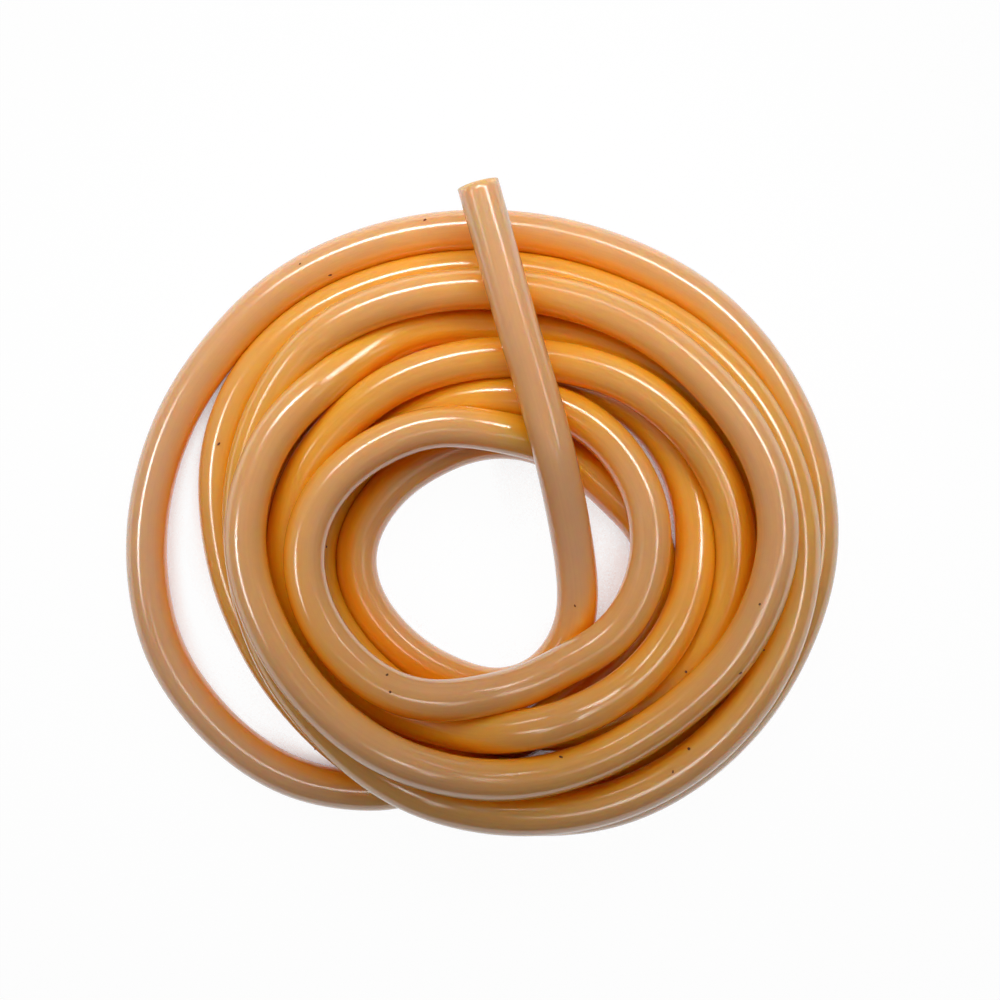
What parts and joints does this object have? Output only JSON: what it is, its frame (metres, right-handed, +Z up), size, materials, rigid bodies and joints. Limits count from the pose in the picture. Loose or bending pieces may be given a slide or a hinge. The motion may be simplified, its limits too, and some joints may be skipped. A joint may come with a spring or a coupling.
{
  "type": "rubber tubing coil",
  "caption": "Loose coil of translucent amber rubber tubing lying flat, with a stretch of the outer turn sprung free and the cut end laid across the top.",
  "frame": {"origin": "middle of the whole coil in plan, loose loop and cut end included, on the surface that it lies on", "axes": "+Z up; +Y towards the side that the cut end reaches over; +X away from the side where the loose loop lies"},
  "size_m": [0.174, 0.1618, 0.0288],
  "materials": {
    "amber_latex": "translucent amber, smooth extruded skin with a soft gloss and a little dust"
  },
  "bodies": {
    "root": {"coil": "amber_latex", "loose_loop": "amber_latex", "crossing_run": "amber_latex", "cut_end": "amber_latex"}
  },
  "joints": []
}
